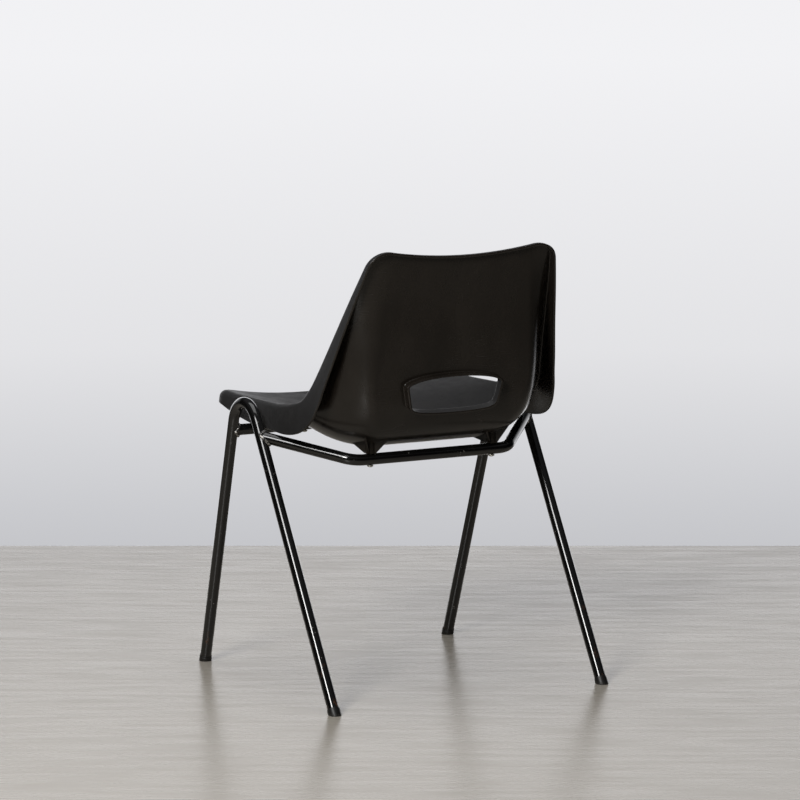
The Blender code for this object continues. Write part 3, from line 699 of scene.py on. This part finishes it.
def add_fold(points, faces, loop, outward, target, radius, depth):
    """Fold the sheet along a loop: an arc from the outward direction to the target direction,
    and then straight on by the depth. Returns the points and the loop of the free edge."""
    base = points[loop]
    turn = np.arccos(np.clip(np.sum(outward * target, axis=1), -1, 1))[:, None]
    inward = unit(target - np.cos(turn) * outward)
    radius = np.asarray(radius).reshape(-1, 1)
    depth = np.asarray(depth).reshape(-1, 1)
    rows = []
    for step in range(1, FOLD_STEPS + 1):
        angle = turn * step / FOLD_STEPS
        rows.append(base + radius * (np.sin(angle) * outward + (1 - np.cos(angle)) * inward))
    bend_end = rows[-1]
    rows += [bend_end + depth * target * share for share in (0.5, 1.0)]
    previous = list(loop)
    for row in rows:
        current = list(range(len(points), len(points) + len(loop)))
        points = np.vstack([points, row])
        bridge(faces, current, previous)
        previous = current
    return points, previous


def loop_directions(points, normals, loop):
    """The tangents along a loop, and the directions in the sheet that lead out across it."""
    ring = points[loop]
    tangent = unit(np.roll(ring, -1, axis=0) - np.roll(ring, 1, axis=0))
    return tangent, unit(np.cross(tangent, normals))


def vertex_normals(points, faces):
    """Unit normals at the points, from the faces around them."""
    quads = np.array(faces)
    crossed = np.cross(points[quads[:, 2]] - points[quads[:, 0]],
                       points[quads[:, 3]] - points[quads[:, 1]])
    total = np.zeros_like(points)
    for corner in range(4):
        np.add.at(total, quads[:, corner], unit(crossed))
    return unit(total)


def close_edge(points, faces, upper, lower, target):
    """Join the two faces of the sheet along a free edge with a half-round nose."""
    middle = (points[upper] + points[lower]) / 2
    half = (points[upper] - points[lower]) / 2
    reach = np.linalg.norm(half, axis=1, keepdims=True) * RIM_ROUNDING
    loops = [upper]
    for angle in np.radians((55, 90, 125)):
        row = middle + half * math.cos(angle) + target * reach * math.sin(angle)
        loops.append(list(range(len(points), len(points) + len(upper))))
        points = np.vstack([points, row])
    loops.append(lower)
    for before, following in zip(loops, loops[1:]):
        bridge(faces, following, before)
    return points


def shell_solid():
    """Points, faces and the count of faces on the sitter's side, without the bosses."""
    surface = ShellSurface()
    flat, faces, edge, hole = shell_sheet(surface)
    points = surface.points(flat[:, 0], flat[:, 1])

    normals = surface.normals(flat[edge, 0], flat[edge, 1])
    tangent, outward = loop_directions(points, normals, edge)
    values = surface.values(flat[edge, 1])
    angle = np.radians(values[:, 7])
    away = np.stack([0 * angle, np.sin(angle), -np.cos(angle)], axis=1)
    away = unit(away - np.sum(away * tangent, axis=1, keepdims=True) * tangent)
    sideways = np.cross(tangent, away)
    sideways *= np.sign(np.sum(sideways * outward, axis=1, keepdims=True))
    rim_target = math.cos(FLANGE_FLARE) * away + math.sin(FLANGE_FLARE) * sideways
    points, rim = add_fold(points, faces, edge, outward, rim_target,
                           values[:, 9], values[:, 8])

    loop = hole[::-1]
    normals = surface.normals(flat[loop, 0], flat[loop, 1])
    tangent, outward = loop_directions(points, normals, loop)
    points, lip = add_fold(points, faces, loop, outward, -normals,
                           HOLD_FOLD, HOLD_LIP)

    sitter_faces = len(faces)
    count = len(points)
    under = points - SHELL_THICKNESS * vertex_normals(points, faces)
    points = np.vstack([points, under])
    faces += [tuple(count + number for number in face[::-1]) for face in faces]
    for free, target in ((rim, rim_target), (lip, -normals)):
        below = [count + number for number in free]
        points = close_edge(points, faces, free, below, target)
    return points, faces, sitter_faces


# ---------- the shell's bosses
def boss_section(reach):
    """Outline of a round post with four webs, as (x, y) points."""
    half = WEB_THICKNESS / 2
    slant = math.asin(half / BOSS_RADIUS)
    start = math.sqrt(BOSS_RADIUS ** 2 - half ** 2)
    stops = [start + (reach - start) * k / 3 for k in (1, 2, 3)]
    outline = []
    for quarter in range(4):
        angle = math.pi / 4 + quarter * math.pi / 2
        along = Vector((math.cos(angle), math.sin(angle)))
        across = Vector((-along.y, along.x))
        outline += [along * stop - across * half for stop in [start] + stops]
        outline += [along * stop + across * half for stop in stops[::-1] + [start]]
        for turn in range(1, BOSS_TURNS):
            spoke = angle + slant + (math.pi / 2 - 2 * slant) * turn / BOSS_TURNS
            outline.append(Vector((math.cos(spoke), math.sin(spoke))) * BOSS_RADIUS)
    return outline


def boss(name, centre, bottom, sheet_tree, material):
    """A post with four webs that spread up to the shell and end inside its thickness."""
    def under_sheet(x, y):
        hit = sheet_tree.ray_cast(Vector((x, y, ABOVE_CHAIR)), Vector((0, 0, -1)))[0]
        return hit - Vector((0, 0, SHELL_THICKNESS * BOSS_SINK))

    low = [Vector((centre[0] + p.x, centre[1] + p.y, bottom))
           for p in boss_section(WEB_REACH_BOTTOM)]
    high = [under_sheet(centre[0] + p.x, centre[1] + p.y)
            for p in boss_section(WEB_REACH_TOP)]
    count = len(low)
    middle = [Vector((*centre, bottom)), under_sheet(*centre)]
    faces = []
    bridge(faces, *loops_of(count, 2 * count))
    for k in range(count):
        after = (k + 1) % count
        faces.append((after, k, 2 * count))
        faces.append((count + k, count + after, 2 * count + 1))
    return new_piece(name, low + high + middle, faces, material)


def apply_boolean(piece, tool, operation):
    """Cut or join with a guide object, then take the guide away."""
    modifier = piece.modifiers.new(operation.lower(), "BOOLEAN")
    modifier.operation = operation
    modifier.object = tool
    with bpy.context.temp_override(object=piece, active_object=piece):
        bpy.ops.object.modifier_apply(modifier=modifier.name)
    bpy.data.objects.remove(tool)


# ---------- places worked out
def leg_point(foot, height):
    """A point on the straight axis of a leg, on the left side."""
    share = height / LEG_APEX[2]
    return Vector((foot[0] + (LEG_APEX[0] - foot[0]) * share,
                   foot[1] + (LEG_APEX[1] - foot[1]) * share, height))


def leg_direction(foot):
    return (leg_point(foot, LEG_APEX[2]) - leg_point(foot, 0)).normalized()


def mirrored(point, side):
    return Vector((point[0] * side, point[1], point[2]))


SIDES = (("left", 1), ("right", -1))
ENDS = (("rear", REAR_FOOT, REAR_RAIL_ON_LEG), ("front", FRONT_FOOT, FRONT_RAIL_ON_LEG))


def fixing_place(end):
    """Y of a pair of shell fixings and height of the rail's axis there."""
    if end == "rear":
        return REAR_RAIL_CORNER[1], REAR_RAIL_CORNER[2]
    left = leg_point(FRONT_FOOT, FRONT_RAIL_ON_LEG)
    return left.y, left.z


# ---------- pieces
def make_shell():
    """The one-piece moulding: grained on the sitter's side, polished behind and beneath."""
    points, faces, sitter_faces = shell_solid()
    grained = textured_plastic()
    polished = polished_plastic()
    shell = new_piece("seat_shell_moulding", points, faces, grained, polished)
    behind = np.ones(len(faces), dtype=np.int32)
    behind[:sitter_faces] = 0
    shell.data.polygons.foreach_set("material_index", behind)
    tree = BVHTree.FromPolygons([tuple(p) for p in points], faces[:sitter_faces])
    radius = INSERT_RADIUS + GAP
    depth = INSERT_LENGTH + GAP
    hollow = ((0, -CUT_PAST), (radius, -CUT_PAST), (radius, depth), (0, depth))
    for end, _foot, _height in ENDS:
        y, rail_z = fixing_place(end)
        bottom = rail_z + TUBE_RADIUS + GAP
        for side_name, side in SIDES:
            place = (FIXING_X * side, y)
            post = boss(f"boss_{end}_{side_name}", place, bottom, tree, polished)
            bore = turned(f"bore_{end}_{side_name}", hollow, (*place, bottom), (0, 0, 1), polished)
            apply_boolean(post, bore, "DIFFERENCE")
            apply_boolean(shell, post, "UNION")
    shell.data.shade_smooth()
    shell.data.set_sharp_from_angle(angle=SHELL_SHARP)
    settle(shell, "seat_shell")


def make_hairpins(paint):
    """Each side's two legs are one tube, bent into an arch at the top."""
    for side_name, side in SIDES:
        corners = [leg_point(foot, 0) + leg_direction(foot) * TUBE_END
                   for foot in (REAR_FOOT, FRONT_FOOT)]
        corners.insert(1, LEG_APEX)
        path = rounded_path([mirrored(p, side) for p in corners], ARCH_RADIUS, ARCH_STEPS)
        leg = tube(f"hairpin_tube_{side_name}", path, paint)
        settle(leg, f"leg_hairpin_{side_name}")


def saddle_reach(spoke, along, axis):
    """How far along a rail a point at this spoke leaves the leg's surface."""
    across_spoke = spoke - axis * spoke.dot(axis)
    across_along = along - axis * along.dot(axis)
    a = across_along.length_squared
    b = 2 * across_along.dot(across_spoke)
    c = across_spoke.length_squared - TUBE_RADIUS ** 2
    return (-b + math.sqrt(max(b * b - 4 * a * c, 0.0))) / (2 * a)


def weld_bead(name, start, along, axis, material):
    """A ring of overlapping ripples in the corner where a rail meets its leg."""
    first, second = frame_across(along)
    count = BEAD_RIPPLES * BEAD_STEPS_PER_RIPPLE
    centres = []
    for step in range(count):
        angle = 2 * math.pi * step / count
        spoke = (first * math.cos(angle) + second * math.sin(angle)) * TUBE_RADIUS
        centres.append(start + spoke + along * (saddle_reach(spoke, along, axis)
                                                + BEAD_RADIUS * BEAD_OFFSET))
    points = []
    for step, centre in enumerate(centres):
        tangent = (centres[(step + 1) % count] - centres[step - 1]).normalized()
        angle = 2 * math.pi * step / count
        outward = first * math.cos(angle) + second * math.sin(angle)
        outward = (outward - tangent * outward.dot(tangent)).normalized()
        sideways = tangent.cross(outward)
        for side in range(BEAD_SIDES):
            turn = 2 * math.pi * side / BEAD_SIDES
            phase = (step / BEAD_STEPS_PER_RIPPLE + BEAD_RIPPLE_BOW * math.cos(2 * turn)) % 1.0
            swell = 1.0 + BEAD_RIPPLE_DEPTH * (math.sin(math.pi * phase) - BEAD_RIPPLE_MIDDLE)
            lump = 1.0 + sum(height * math.sin(waves * angle + start_angle)
                             for height, waves, start_angle in BEAD_LUMPS)
            radius = BEAD_RADIUS * swell * lump
            points.append(centre + (outward * math.cos(turn) + sideways * math.sin(turn)) * radius)
    faces = []
    rings = loops_of(BEAD_SIDES, len(points))
    for ring, following in zip(rings, rings[1:] + rings[:1]):
        bridge(faces, ring, following)
    return new_piece(name, points, faces, material, sharp=60)


def saddled_rail(name, path, axes, material):
    """A rail whose two ends are cut to fit round the legs, with the end rings slid along."""
    rail = tube(name, path, material)
    ring = 2 * TUBE_SIDES
    for end, inner, axis in ((0, 1, axes[0]), (len(path) - 1, len(path) - 2, axes[1])):
        along = (path[inner] - path[end]).normalized()
        for number in range(end * ring, (end + 1) * ring):
            vertex = rail.data.vertices[number]
            spoke = vertex.co - path[end]
            spoke = spoke - along * spoke.dot(along)
            reach = saddle_reach(spoke, along, axis)
            vertex.co = path[end] + spoke + along * (reach + GAP)
    return rail


def make_rails(paint, weld):
    """The two cross rails and the four beads that join them to the legs."""
    for end, foot, height in ENDS:
        corners = [leg_point(foot, height)]
        if end == "rear":
            corners.append(Vector(REAR_RAIL_CORNER))
        corners += [mirrored(p, -1) for p in corners[::-1]]
        path = rounded_path(corners, RAIL_BEND_RADIUS, RAIL_BEND_STEPS)
        axes = [mirrored(leg_direction(foot), side) for _name, side in SIDES]
        rail = saddled_rail(f"cross_rail_{end}", path, axes, paint)
        settle(rail, f"rail_{end}")
        for side_name, side in SIDES:
            along = mirrored(corners[1] - corners[0], side).normalized()
            bead = weld_bead(f"weld_bead_{end}_{side_name}", mirrored(corners[0], side), along,
                             mirrored(leg_direction(foot), side), weld)
            settle(bead, f"weld_{end}_{side_name}")


def make_caps(plastic):
    """Foot caps: cups on the tube ends, with rounded edges and a level sole."""
    bore = TUBE_RADIUS + GAP
    edge = CAP_CHAMFER
    lip = CAP_CHAMFER / 4
    rim = CAP_RADIUS - CAP_STEP
    profile = [(0, 0), (CAP_RADIUS - edge, 0)]
    profile += arc((CAP_RADIUS - edge, edge), edge, -75, 0, 5)
    on_floor = len(profile)
    profile += [(CAP_RADIUS, CAP_HEIGHT * CAP_STEP_START), (rim, CAP_HEIGHT * CAP_STEP_END)]
    profile += arc((rim - lip, CAP_HEIGHT - lip), lip, 0, 90, 5)
    profile += [(bore, CAP_HEIGHT), (bore, TUBE_END - GAP), (0, TUBE_END - GAP)]
    for end, foot, _height in ENDS:
        for side_name, side in SIDES:
            cap = turned(f"foot_cup_{end}_{side_name}", profile,
                         mirrored(leg_point(foot, 0), side),
                         mirrored(leg_direction(foot), side), plastic, on_floor)
            settle(cap, f"foot_cap_{end}_{side_name}")


def hexagon(size):
    """The radius of a hexagonal socket, by angle."""
    sector = math.pi / 3
    return lambda angle: size / math.cos((angle % sector) - sector / 2)


def screw_profile(tip):
    """Half section of a button-head screw, from the middle of its socket round to its tip."""
    socket = hexagon(SCREW_KEY_RADIUS * 0.92)
    mouth = SCREW_KEY_RADIUS * 1.18
    floor = SCREW_KEY_DEPTH - SCREW_HEAD_HEIGHT
    profile = [(0, floor), (socket, floor), (socket, -SCREW_HEAD_HEIGHT + 0.0002),
               (mouth, -SCREW_HEAD_HEIGHT)]
    for turn in np.radians(np.linspace(62, 8, 9)):
        profile.append((SCREW_HEAD_RADIUS * math.cos(turn) ** 0.9,
                        -SCREW_HEAD_HEIGHT * math.sin(turn) ** 0.85))
    profile += [(SCREW_HEAD_RADIUS, -0.0004), (SCREW_HEAD_RADIUS - 0.0003, 0),
                (SCREW_SHANK_RADIUS, 0)]
    height = THREAD_START
    while height < tip - 2 * SCREW_TIP_CHAMFER:
        profile += [(SCREW_SHANK_RADIUS, height),
                    (SCREW_SHANK_RADIUS - THREAD_DEPTH, height + THREAD_PITCH / 2)]
        height += THREAD_PITCH
    return profile + [(SCREW_SHANK_RADIUS, tip - SCREW_TIP_CHAMFER),
                      (SCREW_SHANK_RADIUS - SCREW_TIP_CHAMFER, tip), (0, tip)]


def make_fixings(steel, brass):
    """Button-head screws up through the rails, each into a knurled insert in its boss."""
    for end, _foot, _height in ENDS:
        y, z = fixing_place(end)
        under = z - TUBE_RADIUS - GAP
        boss_foot = z + TUBE_RADIUS + GAP
        tip = boss_foot + INSERT_LENGTH - SCREW_TIP_CHAMFER - under
        inner = SCREW_SHANK_RADIUS + GAP
        neck = INSERT_RADIUS - GAP

        def knurl(angle):
            return INSERT_RADIUS - GAP / 2 + GAP / 2 * math.cos(KNURL_RIDGES * angle)

        sleeve = ((inner, GAP), (neck, GAP), (knurl, 0.001), (knurl, 0.0036), (neck, 0.004),
                  (neck, 0.0048), (knurl, 0.0052), (knurl, INSERT_LENGTH - 0.0006),
                  (neck, INSERT_LENGTH), (inner, INSERT_LENGTH))
        for side_name, side in SIDES:
            base = Vector((FIXING_X * side, y, under))
            screw = turned(f"button_screw_{end}_{side_name}", screw_profile(tip), base, (0, 0, 1),
                           steel, sharp=50)
            settle(screw, f"screw_{end}_{side_name}")
            insert = turned(f"threaded_insert_{end}_{side_name}", sleeve,
                            (base.x, base.y, boss_foot), (0, 0, 1), brass)
            settle(insert, f"insert_{end}_{side_name}")


# ---------- floor, light and camera
def camera_axes():
    """Level directions as the camera sees them: away from it, and to its left."""
    away = Vector((-math.sin(CAMERA_YAW), -math.cos(CAMERA_YAW), 0.0))
    return away, Vector((math.cos(CAMERA_YAW), -math.sin(CAMERA_YAW), 0.0))


def make_floor():
    """A pale studio floor, whose far edge meets the backdrop."""
    away, left = camera_axes()
    corners = [away * ahead + left * aside for ahead, aside in
               ((FLOOR_BEYOND, FLOOR_REST), (FLOOR_BEYOND, -FLOOR_REST),
                (-FLOOR_REST, -FLOOR_REST), (-FLOOR_REST, FLOOR_REST))]
    floor = new_piece("studio_floor", corners, [(0, 1, 2, 3)], pale_floor())
    if floor.data.polygons[0].normal.z < 0:
        floor.data.flip_normals()


def make_backdrop():
    """A pale backdrop for the camera, and the room that lights the chair: a pale wall beyond it,
    a dim ceiling, some warm floor, and dark everywhere else."""
    world = bpy.data.worlds.new("studio")
    bpy.context.scene.world = world
    world.use_nodes = True
    world.node_tree.nodes.clear()
    nodes = Nodes(world.node_tree)

    direction = nodes.add("TexCoord").outputs["Generated"]
    height = nodes.measure(direction, (0, 0, 1))
    away, left = camera_axes()
    beyond = nodes.measure(direction, away)
    leftward = nodes.measure(direction, left)

    lowest = BACKDROP[0][0]
    highest = BACKDROP[-1][0]
    climb = nodes.add("MapRange", {"Value": height, "From Min": lowest, "From Max": highest})
    seen = nodes.add("ValToRGB", {"Fac": climb.outputs[0]})
    ramp = seen.color_ramp
    while len(ramp.elements) < len(BACKDROP):
        ramp.elements.new(0.5)
    for element, (slope, colour) in zip(ramp.elements, BACKDROP):
        element.position = (slope - lowest) / (highest - lowest)
        element.color = (*colour, 1)
    backdrop = nodes.add("Background", {"Color": seen.outputs["Color"]}).outputs[0]

    wall = nodes.times(nodes.remap(beyond, *WALL_BEYOND), nodes.remap(height, *WALL_TOP))
    floor = nodes.remap(nodes.times(height, -1.0), *FLOOR_DOWN)
    for limits in FLOOR_ASIDE:
        floor = nodes.times(floor, nodes.remap(leftward, *limits))
    room = nodes.add("Background", {"Color": (*ROOM_DARK, 1)}).outputs[0]
    for share, colour in ((wall, ROOM_WALL), (nodes.remap(height, *CEILING_UP), ROOM_CEILING),
                          (floor, ROOM_FLOOR)):
        lit = nodes.add("Background", {"Color": (*colour, 1), "Strength": share}).outputs[0]
        room = nodes.add("AddShader", {0: room, 1: lit}).outputs[0]
    camera_ray = nodes.add("LightPath").outputs["Is Camera Ray"]
    both = nodes.add("MixShader", {0: camera_ray, 1: room, 2: backdrop}).outputs[0]
    nodes.add("OutputWorld", {"Surface": both})


def stand(name, data, place, direction):
    """Put up a light or a camera that faces along a direction."""
    made = bpy.data.objects.new(name, data)
    made.location = place
    made.rotation_mode = "QUATERNION"
    made.rotation_quaternion = direction.to_track_quat("-Z", "Y")
    bpy.context.scene.collection.objects.link(made)
    return made


def make_lights():
    for name, place, target, size, power, colour in LIGHTS:
        light = bpy.data.lights.new(name, "AREA")
        light.shape = "RECTANGLE"
        light.size, light.size_y = size
        light.energy = power
        light.color = colour
        lamp = stand(name, light, place, Vector(target) - Vector(place))
        lamp.visible_camera = False


def make_camera():
    camera = bpy.data.cameras.new("camera")
    camera.sensor_width = CAMERA_SENSOR
    camera.lens = CAMERA_LENS
    camera.clip_end = 100
    look = camera_axes()[0] * math.cos(CAMERA_PITCH) - Vector((0, 0, math.sin(CAMERA_PITCH)))
    bpy.context.scene.camera = stand("camera", camera, CAMERA_PLACE, look)
    bpy.context.scene.view_settings.view_transform = "Standard"


make_camera()
paint = frame_paint()
make_shell()
make_hairpins(paint)
make_rails(paint, weld_paint())
make_caps(cap_plastic())
make_fixings(zinc_steel(), insert_brass())
make_floor()
make_backdrop()
make_lights()
